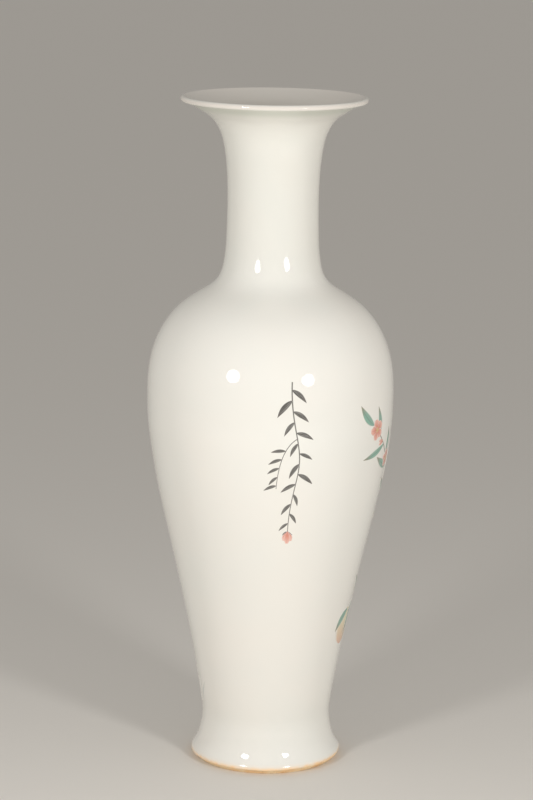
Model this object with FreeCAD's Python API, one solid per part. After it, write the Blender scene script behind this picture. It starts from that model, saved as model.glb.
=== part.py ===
# Tall porcelain baluster vase with a waisted, trumpet-mouthed neck and a flared foot.
# It is built as a potter builds one of this size: four thrown sections and a base disc,
# stepped where they meet, luted with thin rings of slip, and coated with three glazes.
# Millimetres. Z is the wheel's axis and z = 0 is the surface that the foot ring stands on.
import FreeCAD, Part
import math
import os

# Heights of the outline, stacked from the floor up
FOOT_RISE = 33.5        # floor to the waist above the foot
BODY_RISE = 212.5       # waist to the widest place of the belly
SHOULDER_RISE = 138.5   # belly to the narrowest place of the neck
MOUTH_RISE = 65.5       # narrowest place of the neck to the crest of the lip

# Radii of the finished outline, over the glaze
WAIST_RADIUS = 43.3
BELLY_RADIUS = 82.4
NECK_RADIUS = 30.25
LIP_RADIUS = 61.7

# Foot edge: a rounded flare, then a bare bevel down to a flat ring
FOOT_RADIUS = 50.7
FOOT_EDGE_HEIGHT = 3.9      # height of the foot's widest place
FOOT_EDGE_ROUND = 4.0       # radius of the rounded edge
FOOT_FLARE_ANGLE = 27.0     # lean of the outline where the rounded edge ends
GLAZE_LINE = 3.2            # height where the glaze stops and bare clay begins
FOOT_BEVEL = 2.9            # how far the bare bevel draws in
FOOT_RING_WIDTH = 4.6       # flat that the vase stands on
FOOT_RING_ROUND = 0.6       # rubbed corners of that flat

# Lip: a turned bead with a cove under it
LIP_THICKNESS = 3.7
LIP_COVE = 1.6              # radius of the cove under the bead
LIP_UNDERCUT_ANGLE = 25.0   # how far the bead tucks under, from its lowest point
FLARE_END_ANGLE = 28.0      # rise of the trumpet where it meets the cove
LIP_INNER_ANGLE = 22.0      # rise of the mouth's inner face where it meets the bead

# Clay wall at four places, coats and slip
WAIST_WALL = 5.6
BELLY_WALL = 5.0
NECK_WALL = 4.6
MOUTH_WALL = 3.3
GLAZE = 0.45
SLIP = 0.6
SEAM_STEP = 4.0             # height of the tongue that keys one section into the next

# Base disc, pushed up against a ledge in the foot from below
RECESS_DEPTH = 8.5          # foot ring to the underside of the disc
RECESS_GLAZE_LINE = 3.0     # bare height inside the foot ring
BASE_THICKNESS = 6.0
LEDGE_WALL = 5.3            # clay beside the ledge, measured level
LEDGE_WIDTH = 2.4

# Seams: one at the waist, one at the belly, one where the neck leaves the shoulder
NECK_SEAM_RISE = 96.0       # belly seam to neck seam

# In-between places of the outline, as (share of the rise, share of the change in radius)
FOOT_SHAPE = ((0.21, 0.452), (0.51, 0.824))
BODY_SHAPE = (
    (0.030, 0.019),
    (0.076, 0.057),
    (0.192, 0.170),
    (0.353, 0.347),
    (0.584, 0.631),
    (0.769, 0.850),
    (0.885, 0.951),
    (0.954, 0.992),
)
SHOULDER_SHAPE = (
    (0.192, 0.025),
    (0.346, 0.160),
    (0.462, 0.392),
    (0.538, 0.674),
    (0.600, 0.883),
    (0.692, 0.966),
    (0.840, 0.994),
)
FLARE_SHAPE = ((0.452, 0.066), (0.707, 0.219), (0.843, 0.449), (0.918, 0.708))

WAIST_HEIGHT = FOOT_RISE
BELLY_HEIGHT = WAIST_HEIGHT + BODY_RISE
NECK_HEIGHT = BELLY_HEIGHT + SHOULDER_RISE
TOTAL_HEIGHT = NECK_HEIGHT + MOUTH_RISE
NECK_SEAM_HEIGHT = BELLY_HEIGHT + NECK_SEAM_RISE
BEAD_RADIUS = LIP_THICKNESS / 2
LEDGE_HEIGHT = RECESS_DEPTH + BASE_THICKNESS + SLIP
FLOOR_HEIGHT = RECESS_DEPTH + BASE_THICKNESS


def at(radius, height):
    """A point of the cross-section."""
    return FreeCAD.Vector(radius, 0, height)


def toward(degrees):
    """Unit direction in the cross-section, measured from outwards towards up."""
    return at(math.cos(math.radians(degrees)), math.sin(math.radians(degrees)))


def line(start, end):
    return Part.LineSegment(start, end).toShape()


def arc(centre, radius, start_degrees, end_degrees):
    """Round edge about centre, from one direction to another."""
    middle = (start_degrees + end_degrees) / 2
    ends = [centre + toward(d) * radius for d in (start_degrees, middle, end_degrees)]
    return Part.Arc(*ends).toShape()


def flowing(points, start_direction, end_direction):
    """Smooth curve through the points, leaving and arriving in given directions."""
    curve = Part.BSplineCurve()
    tangents = {"InitialTangent": start_direction, "FinalTangent": end_direction, "Scale": False}
    curve.interpolate(Points=points, **tangents)
    return curve


def between(low, high, shape):
    """Points on the way from low to high, at the given shares."""
    rise = high.z - low.z
    change = high.x - low.x
    return [at(low.x + change * swell, low.z + rise * climb) for climb, swell in shape]


# Centres that the finished surface, the clay and the glaze share, so that coats keep their thickness
FOOT_CENTRE = at(FOOT_RADIUS - FOOT_EDGE_ROUND, FOOT_EDGE_HEIGHT)
BEAD_CENTRE = at(LIP_RADIUS - BEAD_RADIUS, TOTAL_HEIGHT - BEAD_RADIUS)
UNDERCUT_DEGREES = -90 - LIP_UNDERCUT_ANGLE
COVE_CENTRE = BEAD_CENTRE + toward(UNDERCUT_DEGREES) * (BEAD_RADIUS + LIP_COVE)
COVE_START_DEGREES = 90 + FLARE_END_ANGLE
COVE_END_DEGREES = 180 + UNDERCUT_DEGREES
CREST_DEGREES = 90
INNER_LIP_DEGREES = 90 + LIP_INNER_ANGLE

FOOT_END = FOOT_CENTRE + toward(FOOT_FLARE_ANGLE) * FOOT_EDGE_ROUND
WAIST = at(WAIST_RADIUS, WAIST_HEIGHT)
BELLY = at(BELLY_RADIUS, BELLY_HEIGHT)
NECK = at(NECK_RADIUS, NECK_HEIGHT)
FLARE_END = COVE_CENTRE + toward(COVE_START_DEGREES) * LIP_COVE

FOOT_END_DIRECTION = toward(90 + FOOT_FLARE_ANGLE)
FLARE_END_DIRECTION = toward(FLARE_END_ANGLE)


def finished_stations():
    """Places that the glazed outline passes through, from the foot's edge to the cove."""
    return [
        FOOT_END,
        *between(FOOT_END, WAIST, FOOT_SHAPE),
        WAIST,
        *between(WAIST, BELLY, BODY_SHAPE),
        BELLY,
        *between(BELLY, NECK, SHOULDER_SHAPE),
        NECK,
        *between(NECK, FLARE_END, FLARE_SHAPE),
        FLARE_END,
    ]


STATIONS = finished_stations()
OUTLINE = flowing(STATIONS, FOOT_END_DIRECTION, FLARE_END_DIRECTION)
INWARD = []
for station in STATIONS:
    along = OUTLINE.tangent(OUTLINE.parameter(station))[0]
    INWARD.append(at(-along.z, along.x))


def wall_at(height):
    """Clay thickness at a height, passing evenly from one named place to the next."""
    places = (
        (WAIST_HEIGHT, WAIST_WALL),
        (BELLY_HEIGHT, BELLY_WALL),
        (NECK_HEIGHT, NECK_WALL),
        (TOTAL_HEIGHT, MOUTH_WALL),
    )
    for (low, low_wall), (high, high_wall) in zip(places, places[1:]):
        if height <= high:
            share = max(0.0, (height - low) / (high - low))
            return low_wall + (high_wall - low_wall) * share
    return MOUTH_WALL


def outer_edges(under, first_degrees, last_degrees):
    """The outside, `under` mm below the glaze: foot edge, body, cove and bead."""
    points = [p + n * under for p, n in zip(STATIONS, INWARD)]
    body = flowing(points, FOOT_END_DIRECTION, FLARE_END_DIRECTION).toShape()
    return [
        arc(FOOT_CENTRE, FOOT_EDGE_ROUND - under, first_degrees, FOOT_FLARE_ANGLE),
        body,
        arc(COVE_CENTRE, LIP_COVE + under, COVE_START_DEGREES, COVE_END_DEGREES),
        arc(BEAD_CENTRE, BEAD_RADIUS - under, UNDERCUT_DEGREES, last_degrees),
    ]


def inner_edge(over):
    """The inside, `over` mm above the clay, from the ledge to the lip's bead."""
    waist = STATIONS.index(WAIST)
    points = [at(ledge_radius() - over, LEDGE_HEIGHT)]
    for p, n in list(zip(STATIONS, INWARD))[waist:-1]:
        points.append(p + n * (GLAZE + wall_at(p.z) + over))
    rim = GLAZE - over
    points.append(BEAD_CENTRE + toward(INNER_LIP_DEGREES) * (BEAD_RADIUS - rim))
    return flowing(points, toward(90), toward(LIP_INNER_ANGLE)).toShape()


def foot_arc_degrees(under):
    """Where the rounded foot edge, `under` mm down, crosses the glaze line."""
    drop = (GLAZE_LINE - FOOT_EDGE_HEIGHT) / (FOOT_EDGE_ROUND - under)
    return math.degrees(math.asin(drop))


def bevel_top():
    """Clay at the glaze line, where the bare bevel starts."""
    return FOOT_CENTRE + toward(foot_arc_degrees(GLAZE)) * (FOOT_EDGE_ROUND - GLAZE)


def ring_radii():
    """Inner and outer radius of the flat that the vase stands on."""
    outer = bevel_top().x - FOOT_BEVEL
    return outer - FOOT_RING_WIDTH, outer


def ledge_radius():
    """Inner radius of the ledge, a wall's thickness in from the clay's outside."""
    return outline_radius(LEDGE_HEIGHT) - GLAZE - LEDGE_WALL


def recess_radius(height):
    """Radius of the hollow under the foot, straight from the ring up to the ledge."""
    low = ring_radii()[0]
    high = ledge_radius() + LEDGE_WIDTH
    return low + (high - low) * height / LEDGE_HEIGHT


def closed(edges):
    """Cross-section face inside a closed run of edges."""
    return Part.Face(Part.Wire(Part.__sortEdges__(edges)))


def polygon(*points):
    return closed([line(a, b) for a, b in zip(points, points[1:] + points[:1])])


def turned(face):
    """Solid made by turning a cross-section once round the wheel's axis."""
    return face.revolve(FreeCAD.Vector(0, 0, 0), FreeCAD.Vector(0, 0, 1), 360)


def wall_face():
    """Clay of the whole wall, foot ring to lip, before it is divided into sections."""
    ring_inner, ring_outer = ring_radii()
    ledge_top = at(ledge_radius(), LEDGE_HEIGHT)
    ledge_root = at(recess_radius(LEDGE_HEIGHT), LEDGE_HEIGHT)
    outside = outer_edges(GLAZE, foot_arc_degrees(GLAZE), CREST_DEGREES)
    rim = arc(BEAD_CENTRE, BEAD_RADIUS - GLAZE, CREST_DEGREES, INNER_LIP_DEGREES)
    under = [
        line(ledge_top, ledge_root),
        line(ledge_root, at(ring_inner, 0)),
        line(at(ring_inner, 0), at(ring_outer, 0)),
        line(at(ring_outer, 0), bevel_top()),
    ]
    return closed(outside + [rim, inner_edge(0)] + under)


def seam_band(height):
    """Z-shaped gap that slip fills: outer half low, inner half a tongue higher."""
    index = min(range(len(STATIONS)), key=lambda i: abs(STATIONS[i].z - height))
    wall = wall_at(height)
    middle = outline_radius(height) - (GLAZE + wall / 2) / abs(INWARD[index].x)
    clear = 2 * wall
    low = height
    high = height + SEAM_STEP
    return polygon(
        at(middle + clear, low),
        at(middle, low),
        at(middle, high),
        at(middle - clear, high),
        at(middle - clear, high + SLIP),
        at(middle + SLIP, high + SLIP),
        at(middle + SLIP, low + SLIP),
        at(middle + clear, low + SLIP),
    )


def outline_radius(height):
    """Radius of the finished outline at a height."""
    plane = Part.Plane(at(0, height), FreeCAD.Vector(0, 0, 1))
    crossing = OUTLINE.intersect(plane)[0][0]
    return crossing.X


def clay_and_slip():
    """The four thrown sections, foot first, and the slip rings between them."""
    names = ("foot_section", "lower_body_section", "shoulder_section", "neck_section")
    slips = ("foot_seam_slip", "belly_seam_slip", "neck_seam_slip")
    bands = [seam_band(h) for h in (WAIST_HEIGHT, BELLY_HEIGHT, NECK_SEAM_HEIGHT)]
    wall = wall_face()
    sections = sorted(wall.cut(bands).Faces, key=lambda f: f.CenterOfMass.z)
    made = {name: turned(face) for name, face in zip(names, sections)}
    for name, band in zip(slips, bands):
        made[name] = turned(wall.common(band).Faces[0])
    made["foot_section"] = rubbed(made["foot_section"])
    return made


def rubbed(foot):
    """The foot ring's two corners, rubbed round so that they don't scratch a table."""
    corners = [e for e in foot.Edges if e.BoundBox.ZMax < 1e-6 and len(e.Vertexes) == 1]
    return foot.makeFillet(FOOT_RING_ROUND, corners)


def base_disc():
    """Flat disc that closes the vase, a slip's thickness smaller than its seat."""
    low = at(recess_radius(RECESS_DEPTH) - SLIP, RECESS_DEPTH)
    high = at(recess_radius(FLOOR_HEIGHT) - SLIP, FLOOR_HEIGHT)
    return turned(polygon(at(0, RECESS_DEPTH), low, high, at(0, FLOOR_HEIGHT)))


def base_seam_slip():
    """Slip round the disc's edge and over it, against the ledge."""
    return turned(
        polygon(
            at(recess_radius(RECESS_DEPTH) - SLIP, RECESS_DEPTH),
            at(recess_radius(RECESS_DEPTH), RECESS_DEPTH),
            at(recess_radius(LEDGE_HEIGHT), LEDGE_HEIGHT),
            at(ledge_radius(), LEDGE_HEIGHT),
            at(ledge_radius(), FLOOR_HEIGHT),
            at(recess_radius(FLOOR_HEIGHT) - SLIP, FLOOR_HEIGHT),
        )
    )


def outer_glaze():
    """Glaze from the bare foot bevel up the outside to the crest of the lip."""
    finished = outer_edges(0, foot_arc_degrees(0), CREST_DEGREES)
    clay = outer_edges(GLAZE, foot_arc_degrees(GLAZE), CREST_DEGREES)
    hem = line(FOOT_CENTRE + toward(foot_arc_degrees(0)) * FOOT_EDGE_ROUND, bevel_top())
    crest = line(BEAD_CENTRE + toward(90) * BEAD_RADIUS, BEAD_CENTRE + toward(90) * (BEAD_RADIUS - GLAZE))
    return turned(closed(finished + clay + [hem, crest]))


def inner_glaze():
    """Glaze from the crest of the lip down the inside and across the floor."""
    crest = [BEAD_CENTRE + toward(90) * r for r in (BEAD_RADIUS, BEAD_RADIUS - GLAZE)]
    radius = ledge_radius()
    edges = [
        line(*crest),
        arc(BEAD_CENTRE, BEAD_RADIUS, CREST_DEGREES, INNER_LIP_DEGREES),
        inner_edge(GLAZE),
        line(at(radius - GLAZE, LEDGE_HEIGHT), at(radius - GLAZE, FLOOR_HEIGHT + GLAZE)),
        line(at(radius - GLAZE, FLOOR_HEIGHT + GLAZE), at(0, FLOOR_HEIGHT + GLAZE)),
        line(at(0, FLOOR_HEIGHT + GLAZE), at(0, FLOOR_HEIGHT)),
        line(at(0, FLOOR_HEIGHT), at(radius, FLOOR_HEIGHT)),
        line(at(radius, FLOOR_HEIGHT), at(radius, LEDGE_HEIGHT)),
        inner_edge(0),
        arc(BEAD_CENTRE, BEAD_RADIUS - GLAZE, CREST_DEGREES, INNER_LIP_DEGREES),
    ]
    return turned(closed(edges))


def base_glaze():
    """Glaze on the underside of the disc and down the recess, short of the bare ring."""
    low = RECESS_GLAZE_LINE
    return turned(
        polygon(
            at(0, RECESS_DEPTH),
            at(recess_radius(RECESS_DEPTH), RECESS_DEPTH),
            at(recess_radius(low), low),
            at(recess_radius(low) - GLAZE, low),
            at(recess_radius(RECESS_DEPTH) - GLAZE, RECESS_DEPTH - GLAZE),
            at(0, RECESS_DEPTH - GLAZE),
        )
    )


def main():
    parts = clay_and_slip()
    parts["base_disc"] = base_disc()
    parts["base_seam_slip"] = base_seam_slip()
    parts["outer_glaze"] = outer_glaze()
    parts["inner_glaze"] = inner_glaze()
    parts["base_glaze"] = base_glaze()
    os.makedirs("parts", exist_ok=True)
    for name, solid in parts.items():
        solid.exportStep(f"parts/{name}.step")
        box = solid.optimalBoundingBox(False)
        print(
            f"{name}: valid {solid.isValid()}, {len(solid.Solids)} solid, volume {solid.Volume:.1f},"
            f" z {box.ZMin:.2f} to {box.ZMax:.2f}, radius {box.XMax:.2f}"
        )


main()
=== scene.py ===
# %% [markdown]
# A tall white vase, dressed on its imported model.
# The model already holds the vase as a potter builds it: thrown sections, a base disc, rings of
# slip and coats of glaze. It sits still in this scene, and every new piece is made to its sizes.

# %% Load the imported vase
import math
import random

import bmesh
import bpy
import numpy as np
from mathutils import Matrix, Vector


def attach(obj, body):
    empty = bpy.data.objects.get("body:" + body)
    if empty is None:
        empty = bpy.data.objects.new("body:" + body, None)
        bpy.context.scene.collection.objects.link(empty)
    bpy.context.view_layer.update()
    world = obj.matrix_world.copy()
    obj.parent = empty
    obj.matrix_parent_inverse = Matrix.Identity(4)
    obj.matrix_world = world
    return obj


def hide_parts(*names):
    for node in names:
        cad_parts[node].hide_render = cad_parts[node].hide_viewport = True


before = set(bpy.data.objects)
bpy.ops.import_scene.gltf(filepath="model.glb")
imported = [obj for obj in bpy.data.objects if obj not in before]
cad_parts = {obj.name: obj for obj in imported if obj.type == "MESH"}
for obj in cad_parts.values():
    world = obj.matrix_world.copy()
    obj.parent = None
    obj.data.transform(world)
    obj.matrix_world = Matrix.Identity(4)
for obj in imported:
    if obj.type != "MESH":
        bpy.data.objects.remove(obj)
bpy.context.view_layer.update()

MM = 0.001
print("CAD nodes:", ", ".join(sorted(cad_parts)))

# %% [markdown]
# The camera stands where the photographer stood, 1.85 m away and a little above the lip. The
# picture is upright, so the long side of a 36 mm frame stands upright too, with a telephoto lens.

# %% Camera at the photograph's place
CAMERA_DISTANCE = 1.85
CAMERA_HEIGHT = 0.631
CAMERA_TILT_DOWN = math.radians(11.74)
CAMERA_TURN = math.radians(0.077)
CAMERA_ROLL = math.radians(0.827)
LENS_MM = 126.9
FRAME_LONG_SIDE_MM = 36.0


def stand_camera():
    """Camera on the front side, level apart from its tilt and the small roll of the tripod."""
    bpy.ops.object.camera_add(location=(0, -CAMERA_DISTANCE, CAMERA_HEIGHT))
    camera = bpy.context.active_object
    camera.name = "studio_camera"
    camera.data.sensor_fit = "VERTICAL"
    camera.data.sensor_height = FRAME_LONG_SIDE_MM
    camera.data.lens = LENS_MM
    turn = Matrix.Rotation(CAMERA_TURN, 3, "Z")
    tilt = Matrix.Rotation(math.pi / 2 - CAMERA_TILT_DOWN, 3, "X")
    roll = Matrix.Rotation(CAMERA_ROLL, 3, "Z")
    camera.rotation_euler = (turn @ tilt @ roll).to_euler()
    bpy.context.scene.camera = camera
    return camera


camera = stand_camera()
print("camera at", tuple(round(x, 3) for x in camera.location), "lens", LENS_MM, "mm")

# %% [markdown]
# A finish or a lit room is a tree of nodes. Each input of a node is fed a number, a vector, a
# colour or the output of another node. These helpers do it for the room and for the materials.

# %% Helpers for every node tree
def feed(owner, socket, value):
    """Gives an input its number, vector or colour, or links another node's output to it."""
    if isinstance(value, bpy.types.NodeSocket):
        owner.node_tree.links.new(value, socket)
    else:
        socket.default_value = (*value, 1) if socket.type == "RGBA" else value


def add_node(owner, kind, fed=(), **settings):
    """New node in a material or a world, with its settings and what it is fed."""
    node = owner.node_tree.nodes.new(kind)
    for key, value in settings.items():
        setattr(node, key, value)
    for key, value in dict(fed).items():
        feed(owner, node.inputs[key], value)
    return node


def stretch(owner, value, low, high, out_low=0.0, out_high=1.0):
    """Value between low and high, spread from out_low to out_high and held there."""
    fed = {"Value": value, "From Min": low, "From Max": high, "To Min": out_low, "To Max": out_high}
    return add_node(owner, "ShaderNodeMapRange", fed).outputs["Result"]


# %% [markdown]
# Two round lamps stand in front, left and right, a little higher than the lip. Their mirror images
# are the round highlights on the glaze, so their places come from where those highlights lie.

# %% Two soft lamps
LAMP_DIAMETER = 0.175
LAMPS = (("left_lamp", (-0.51, -0.75, 0.485), 2.85), ("right_lamp", (0.57, -0.83, 0.465), 4.0))
LAMP_AIM = Vector((0, 0, 0.17))


def hang_lamp(name, place, watts):
    """Round soft lamp that faces the vase."""
    bpy.ops.object.light_add(type="AREA", location=place)
    lamp = bpy.context.active_object
    lamp.name = name
    lamp.data.shape = "DISK"
    lamp.data.size = LAMP_DIAMETER
    lamp.data.energy = watts
    lamp.rotation_euler = (LAMP_AIM - lamp.location).to_track_quat("-Z", "Y").to_euler()
    return lamp


for name, place, watts in LAMPS:
    lamp = hang_lamp(name, place, watts)
    print(name, "is", round((lamp.location - LAMP_AIM).length, 2), "m from the vase")

# %% [markdown]
# The world fills the shadows, more from the level of the walls than from the ceiling. What the
# camera and the gloss see of it is the plain backdrop, in the tone of the far end of the floor.

# %% Room round the vase
FILL = (1.0, 0.985, 0.96)
WALL_FILL, CEILING_FILL = 0.53, 0.43
BACKDROP, BACKDROP_STRENGTH = (0.670, 0.630, 0.570), 0.50


def sharp_rays(world):
    """One for rays that show the room itself: from the camera, off gloss and through glass."""
    path = add_node(world, "ShaderNodeLightPath").outputs
    sharp = path["Is Camera Ray"]
    for ray in ("Is Glossy Ray", "Is Transmission Ray"):
        fed = {0: sharp, 1: path[ray]}
        sharp = add_node(world, "ShaderNodeMath", fed, operation="MAXIMUM").outputs[0]
    return sharp


def light_room():
    """World that fills shadows softly and looks like the backdrop."""
    world = bpy.data.worlds.new("studio_room")
    bpy.context.scene.world = world
    world.use_nodes = True
    direction = add_node(world, "ShaderNodeTexCoord").outputs["Generated"]
    split = add_node(world, "ShaderNodeSeparateXYZ", {0: direction})
    height = stretch(world, split.outputs["Z"], 0.0, 1.0, WALL_FILL, CEILING_FILL)
    fill = world.node_tree.nodes["Background"]
    feed(world, fill.inputs["Color"], FILL)
    feed(world, fill.inputs["Strength"], height)
    backdrop = {"Color": BACKDROP, "Strength": BACKDROP_STRENGTH}
    seen = add_node(world, "ShaderNodeBackground", backdrop)
    choice = {0: sharp_rays(world), 1: fill.outputs[0], 2: seen.outputs[0]}
    mix = add_node(world, "ShaderNodeMixShader", choice)
    feed(world, world.node_tree.nodes["World Output"].inputs["Surface"], mix.outputs[0])
    return world


bpy.context.scene.view_settings.view_transform = "Standard"
print("the world is", light_room().name)

# %% [markdown]
# A vase is turned from one drawn line. These are the sizes of that line in millimetres: four
# heights stacked from the floor, four radii, and the small arcs at the foot and the lip. The places
# between them are shares of the way from one named place to the next.

# %% Sizes of the outline
FOOT_RISE, BODY_RISE, SHOULDER_RISE, MOUTH_RISE = 33.5, 212.5, 138.5, 65.5
WAIST_RADIUS, BELLY_RADIUS, NECK_RADIUS, LIP_RADIUS = 43.3, 82.4, 30.25, 61.7
FOOT_RADIUS, FOOT_EDGE_HEIGHT, FOOT_EDGE_ROUND, FOOT_FLARE_ANGLE = 50.7, 3.9, 4.0, 27.0
GLAZE_LINE, FOOT_BEVEL, FOOT_RING_WIDTH, FOOT_RING_ROUND = 3.2, 2.9, 4.6, 0.6
LIP_THICKNESS, LIP_COVE, LIP_UNDERCUT_ANGLE = 3.7, 1.6, 25.0
FLARE_END_ANGLE, LIP_INNER_ANGLE = 28.0, 22.0
WAIST_WALL, BELLY_WALL, NECK_WALL, MOUTH_WALL, GLAZE = 5.6, 5.0, 4.6, 3.3, 0.45
RECESS_DEPTH, RECESS_GLAZE_LINE, BASE_THICKNESS = 8.5, 3.0, 6.0
SLIP, LEDGE_WALL, LEDGE_WIDTH, SEAM_STEP = 0.6, 5.3, 2.4, 4.0
FOOT_SHAPE = ((0.21, 0.452), (0.51, 0.824))
BODY_SHAPE = (
    (0.030, 0.019), (0.076, 0.057), (0.192, 0.170), (0.353, 0.347),
    (0.584, 0.631), (0.769, 0.850), (0.885, 0.951), (0.954, 0.992),
)
SHOULDER_SHAPE = (
    (0.192, 0.025), (0.346, 0.160), (0.462, 0.392), (0.538, 0.674),
    (0.600, 0.883), (0.692, 0.966), (0.840, 0.994),
)
FLARE_SHAPE = ((0.452, 0.066), (0.707, 0.219), (0.843, 0.449), (0.918, 0.708))
BELLY_HEIGHT = FOOT_RISE + BODY_RISE
NECK_HEIGHT = BELLY_HEIGHT + SHOULDER_RISE
TOTAL_HEIGHT = NECK_HEIGHT + MOUTH_RISE
BEAD_ROUND = LIP_THICKNESS / 2
FLOOR_HEIGHT = RECESS_DEPTH + BASE_THICKNESS
LEDGE_HEIGHT = FLOOR_HEIGHT + SLIP
print("the vase is", TOTAL_HEIGHT, "mm high and", 2 * BELLY_RADIUS, "mm across")

# %% [markdown]
# A smooth curve runs through the measured places without a kink in slope or in bend, as a bent
# spline of wood would. Each stretch between two places is a cubic, and the slopes at the places are
# solved together so that neighbouring stretches bend alike where they meet.

# %% The smooth line through the measured places
def toward(degrees):
    """Unit direction in the cross-section, from outwards (0) to up (90)."""
    return np.array((math.cos(math.radians(degrees)), math.sin(math.radians(degrees))))


def between(low, high, shape):
    """Places on the way from low to high, at the given shares."""
    change = high - low
    return [low + change * (swell, climb) for climb, swell in shape]


def slopes_at(places, start_slope, end_slope):
    """Slope at each place of the smoothest curve through all of them, and the lengths between."""
    gaps = np.linalg.norm(np.diff(places, axis=0), axis=1)
    count = len(places)
    balance = np.eye(count)
    pull = np.zeros((count, 2))
    pull[0], pull[-1] = start_slope, end_slope
    for i in range(1, count - 1):
        before, after = gaps[i - 1], gaps[i]
        balance[i, i - 1 : i + 2] = after, 2 * (before + after), before
        back = (places[i] - places[i - 1]) / before
        ahead = (places[i + 1] - places[i]) / after
        pull[i] = 3 * (after * back + before * ahead)
    return np.linalg.solve(balance, pull), gaps


def smooth_run(places, start_slope, end_slope, spacing):
    """Points about `spacing` mm apart along the smooth curve."""
    places = np.array(places)
    slopes, gaps = slopes_at(places, start_slope, end_slope)
    points = []
    for i, gap in enumerate(gaps):
        count = max(2, math.ceil(gap / spacing))
        for t in np.arange(count) / count:
            points.append(
                (2 * t**3 - 3 * t**2 + 1) * places[i]
                + (t**3 - 2 * t**2 + t) * gap * slopes[i]
                + (3 * t**2 - 2 * t**3) * places[i + 1]
                + (t**3 - t**2) * gap * slopes[i + 1]
            )
    return points + [places[-1]]


def round_run(centre, radius, first_degrees, last_degrees, count):
    """Points along a round stretch of the outline."""
    return [centre + toward(d) * radius for d in np.linspace(first_degrees, last_degrees, count)]


# %% [markdown]
# The foot's edge, the cove under the lip and the lip's bead are true arcs. The body starts where
# the foot's arc ends and arrives where the cove begins, in the same direction, so no edge shows.

# %% Places of the finished outline
FOOT_CENTRE = np.array((FOOT_RADIUS - FOOT_EDGE_ROUND, FOOT_EDGE_HEIGHT))
BEAD_CENTRE = np.array((LIP_RADIUS - BEAD_ROUND, TOTAL_HEIGHT - BEAD_ROUND))
UNDERCUT = -90 - LIP_UNDERCUT_ANGLE
COVE_CENTRE = BEAD_CENTRE + toward(UNDERCUT) * (BEAD_ROUND + LIP_COVE)
FOOT_END = FOOT_CENTRE + toward(FOOT_FLARE_ANGLE) * FOOT_EDGE_ROUND
FLARE_END = COVE_CENTRE + toward(90 + FLARE_END_ANGLE) * LIP_COVE
WAIST = np.array((WAIST_RADIUS, FOOT_RISE))
BELLY = np.array((BELLY_RADIUS, BELLY_HEIGHT))
NECK = np.array((NECK_RADIUS, NECK_HEIGHT))
STATIONS = np.array([
    FOOT_END, *between(FOOT_END, WAIST, FOOT_SHAPE),
    WAIST, *between(WAIST, BELLY, BODY_SHAPE),
    BELLY, *between(BELLY, NECK, SHOULDER_SHAPE),
    NECK, *between(NECK, FLARE_END, FLARE_SHAPE), FLARE_END,
])
FOOT_DIRECTION, FLARE_DIRECTION = toward(90 + FOOT_FLARE_ANGLE), toward(FLARE_END_ANGLE)
SLOPES, _ = slopes_at(STATIONS, FOOT_DIRECTION, FLARE_DIRECTION)
INWARD = np.array([(-up, out) for out, up in SLOPES / np.linalg.norm(SLOPES, axis=1)[:, None]])
WAIST_PLACE = 1 + len(FOOT_SHAPE)
OUTER_SPACING, INNER_SPACING = 2.0, 3.2


def wall_at(height):
    """Thickness of the clay at a height."""
    heights = (FOOT_RISE, BELLY_HEIGHT, NECK_HEIGHT, TOTAL_HEIGHT)
    return np.interp(height, heights, (WAIST_WALL, BELLY_WALL, NECK_WALL, MOUTH_WALL))


def foot_arc_start(under):
    """Where the foot's rounded edge, `under` mm down, crosses the glaze line."""
    return math.degrees(math.asin((GLAZE_LINE - FOOT_EDGE_HEIGHT) / (FOOT_EDGE_ROUND - under)))


BEVEL_TOP = FOOT_CENTRE + toward(foot_arc_start(GLAZE)) * (FOOT_EDGE_ROUND - GLAZE)
RING_OUTER = BEVEL_TOP[0] - FOOT_BEVEL
RING_INNER = RING_OUTER - FOOT_RING_WIDTH


def outside_points():
    """Glazed outside, from the hem above the foot to the crest of the lip."""
    foot = round_run(FOOT_CENTRE, FOOT_EDGE_ROUND, foot_arc_start(0), FOOT_FLARE_ANGLE, 8)
    body = smooth_run(STATIONS, FOOT_DIRECTION, FLARE_DIRECTION, OUTER_SPACING)
    cove = round_run(COVE_CENTRE, LIP_COVE, 90 + FLARE_END_ANGLE, 180 + UNDERCUT, 7)
    bead = round_run(BEAD_CENTRE, BEAD_ROUND, UNDERCUT, 90, 18)
    return foot[:-1] + body[:-1] + cove[:-1] + bead


def inside_points():
    """Glazed inside, from the crest of the lip down to the floor's centre."""
    bead = round_run(BEAD_CENTRE, BEAD_ROUND, 90, 90 + LIP_INNER_ANGLE, 4)
    wall = [(LEDGE_RADIUS - GLAZE, LEDGE_HEIGHT)]
    for place, inward in zip(STATIONS[WAIST_PLACE:-1], INWARD[WAIST_PLACE:-1]):
        wall.append(place + inward * (2 * GLAZE + wall_at(place[1])))
    wall.append(bead[-1])
    down = smooth_run(wall, toward(90), toward(LIP_INNER_ANGLE), INNER_SPACING)[::-1]
    floor = [(r, FLOOR_HEIGHT + GLAZE) for r in (LEDGE_RADIUS - GLAZE, 30, 20, 10, 0)]
    return bead[1:-1] + down + floor


OUTSIDE = outside_points()
LOW_OUTSIDE = np.array(OUTSIDE[:30])
LEDGE_RADIUS = np.interp(LEDGE_HEIGHT, LOW_OUTSIDE[:, 1], LOW_OUTSIDE[:, 0]) - GLAZE - LEDGE_WALL
packed = np.array([v.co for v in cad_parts["outer_glaze"].data.vertices]) / MM
packed = np.c_[np.hypot(packed[:, 0], packed[:, 1]), packed[:, 2]]
farthest = max(np.linalg.norm(packed - p, axis=1).min() for p in OUTSIDE[::12])
print(len(OUTSIDE), "places outside, at most", round(farthest, 2), "mm from a packed point")

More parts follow.
